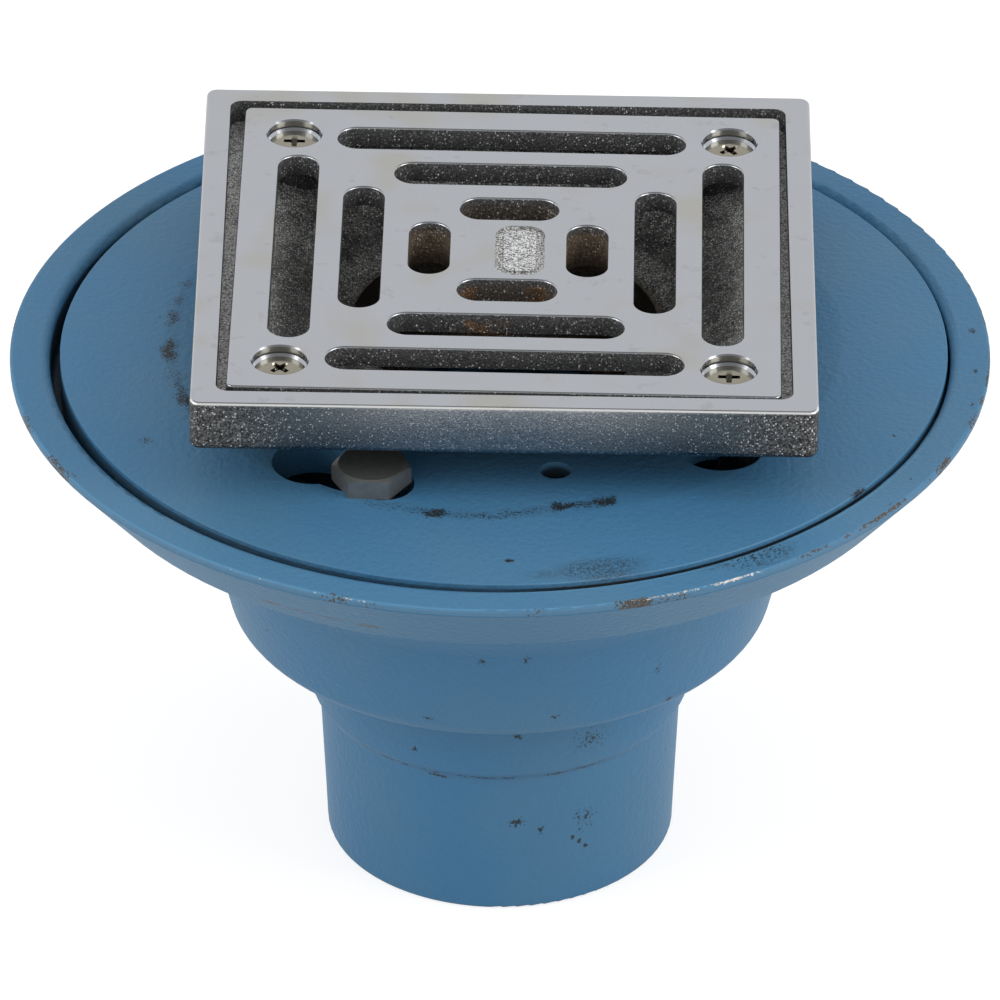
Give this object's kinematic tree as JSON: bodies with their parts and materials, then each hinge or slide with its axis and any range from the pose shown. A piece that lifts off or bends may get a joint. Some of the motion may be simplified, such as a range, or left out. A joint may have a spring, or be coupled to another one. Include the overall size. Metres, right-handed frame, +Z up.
{
  "type": "floor drain",
  "caption": "Cast floor drain: dished flange over a bowl and threaded outlet, clamping collar on keyhole slots, and a square slotted strainer on a screw shank that sets its height.",
  "frame": {"origin": "on the outlet's axis, at the outlet's lower end", "axes": "+Z up along the outlet's axis, +X to the right and -Y towards the viewer of the picture"},
  "size_m": [0.2032, 0.2032, 0.1409],
  "materials": {
    "blue_paint": "satin paint on rough cast iron, chipped at the rim's edge",
    "plated_casting": "plated casting, polished on top and grainy on its sides and inside",
    "bolt_steel": "dark oiled steel",
    "screw_nickel": "warm nickel plate"
  },
  "bodies": {
    "body": {"drain_body": "blue_paint", "collar_bolts": "bolt_steel"},
    "collar": {"clamping_collar": "blue_paint"},
    "strainer": {"strainer_head": "plated_casting", "grate": "plated_casting", "grate_screws": "screw_nickel"}
  },
  "joints": [
    {"name": "collar_twist", "type": "hinge", "parent": "body", "child": "collar", "pos_m": [0.0008, 0.0001, 0.107], "axis": [0, 0, 1], "range_deg": [-2.5, 12.9]},
    {"name": "strainer_height", "type": "slide", "parent": "collar", "child": "strainer", "axis": [0.014, 0, 0.9999], "range_m": [-0.003, 0.012]}
  ]
}
